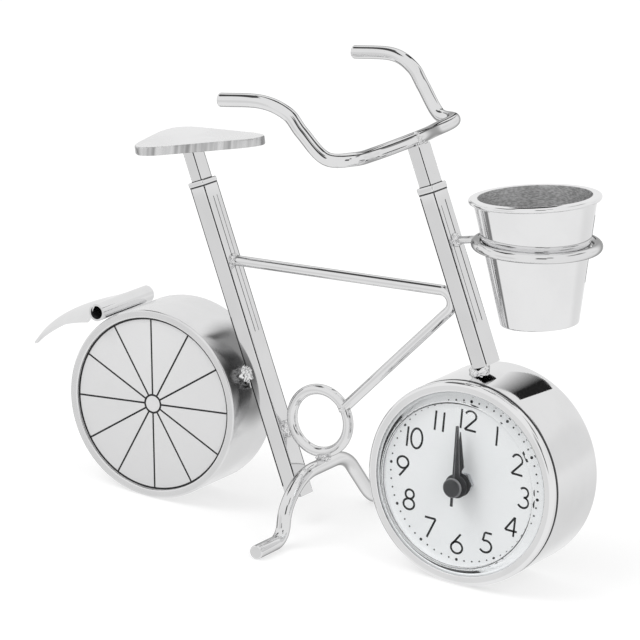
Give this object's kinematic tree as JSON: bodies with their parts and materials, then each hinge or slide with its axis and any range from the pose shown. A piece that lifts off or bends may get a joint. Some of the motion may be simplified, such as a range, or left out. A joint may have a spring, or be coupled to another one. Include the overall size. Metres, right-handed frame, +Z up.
{
  "type": "desk clock",
  "caption": "Desk clock shaped like a chromed bicycle: a quartz clock in the front drum wheel, a spoked rear drum, a saddle, a handlebar and a lift-out cup in a wire ring.",
  "frame": {"origin": "centre of the bounding box, on the surface that the drums stand on", "axes": "+X from the rear wheel to the front wheel, +Z up, the dial faces -Y"},
  "size_m": [0.2126, 0.0908, 0.1584],
  "materials": {
    "chrome": "bright plated",
    "satin_metal": "satin",
    "weld_metal": "plated weld",
    "spoke_face": "printed",
    "dial_face": "printed, matt",
    "hand_black": "satin",
    "clear_lens": "clear",
    "black_plastic": "matt",
    "gear_brass": "stamped",
    "plain_steel": "plain",
    "copper_wire": "lacquered wire",
    "board_green": "lacquered"
  },
  "bodies": {
    "frame": {"seat_tube": "chrome", "seat_collar": "chrome", "seat_post": "chrome", "saddle": "satin_metal", "head_tube": "chrome", "head_collar": "chrome", "stem": "chrome", "handlebar": "chrome", "crank_ring": "chrome", "frame_bar": "chrome", "stand": "chrome", "rear_weld": "weld_metal", "head_weld": "weld_metal", "ring_weld": "weld_metal", "cup_ring": "chrome", "mudguard": "chrome", "rear_drum": "chrome", "spoke_disc": "spoke_face", "rear_back_plate": "chrome", "front_drum": "chrome", "bezel": "chrome", "lens": "clear_lens", "dial_nut": "plain_steel", "dial_spacer": "chrome", "dial": "dial_face", "retaining_ring": "black_plastic", "movement_plate": "black_plastic", "movement_case": "black_plastic", "cell": "plain_steel", "contact_front": "gear_brass", "stator": "plain_steel", "coil": "copper_wire", "circuit_board": "board_green", "case_screw_1": "plain_steel", "case_screw_2": "plain_steel"},
    "second_group": {"second_hand": "hand_black", "second_wheel": "gear_brass"},
    "third_group": {"third_wheel": "gear_brass"},
    "intermediate_group": {"intermediate_wheel": "gear_brass"},
    "rotor_group": {"rotor": "plain_steel"},
    "centre_group": {"centre_wheel": "gear_brass"},
    "setting_group": {"set_knob": "black_plastic", "motion_wheel": "gear_brass"},
    "minute_group": {"minute_hand": "hand_black", "cannon_pinion": "gear_brass"},
    "hour_group": {"hour_hand": "hand_black", "hour_wheel": "gear_brass"},
    "cup_group": {"cup": "chrome"},
    "door_group": {"battery_door": "black_plastic", "contact_door": "gear_brass"}
  },
  "joints": [
    {"name": "second_turn", "type": "hinge", "parent": "frame", "child": "second_group", "pos_m": [0.07175, 0.00026, 0.03453], "axis": [0, 1, 0], "continuous": true},
    {"name": "third_turn", "type": "hinge", "parent": "frame", "child": "third_group", "pos_m": [0.07541, 0.00026, 0.04087], "axis": [0, 1, 0], "continuous": true},
    {"name": "intermediate_turn", "type": "hinge", "parent": "frame", "child": "intermediate_group", "pos_m": [0.07547, 0.00026, 0.02807], "axis": [0, 1, 0], "continuous": true},
    {"name": "rotor_turn", "type": "hinge", "parent": "frame", "child": "rotor_group", "pos_m": [0.08266, 0.00026, 0.02934], "axis": [0, 1, 0], "continuous": true},
    {"name": "centre_turn", "type": "hinge", "parent": "frame", "child": "centre_group", "pos_m": [0.07175, 0.00026, 0.03453], "axis": [0, 1, 0], "continuous": true},
    {"name": "setting_turn", "type": "hinge", "parent": "frame", "child": "setting_group", "pos_m": [0.06451, 0.00026, 0.03189], "axis": [0, 1, 0], "continuous": true},
    {"name": "minute_turn", "type": "hinge", "parent": "frame", "child": "minute_group", "pos_m": [0.07175, 0.00026, 0.03453], "axis": [0, 1, 0], "continuous": true},
    {"name": "hour_turn", "type": "hinge", "parent": "frame", "child": "hour_group", "pos_m": [0.07175, 0.00026, 0.03453], "axis": [0, 1, 0], "continuous": true},
    {"name": "cup_lift", "type": "slide", "parent": "frame", "child": "cup_group", "axis": [-0.1478, 0, 0.989], "range_m": [0, 0.06]},
    {"name": "door_pull", "type": "slide", "parent": "frame", "child": "door_group", "axis": [0, 1, 0], "range_m": [0, 0.012]}
  ],
  "couplings": [
    {"joint": "third_turn", "follows": "second_turn", "ratio": -0.13333},
    {"joint": "intermediate_turn", "follows": "second_turn", "ratio": -6},
    {"joint": "rotor_turn", "follows": "second_turn", "ratio": 30},
    {"joint": "centre_turn", "follows": "second_turn", "ratio": 0.016667},
    {"joint": "minute_turn", "follows": "setting_turn", "ratio": -3},
    {"joint": "hour_turn", "follows": "setting_turn", "ratio": -0.25}
  ]
}
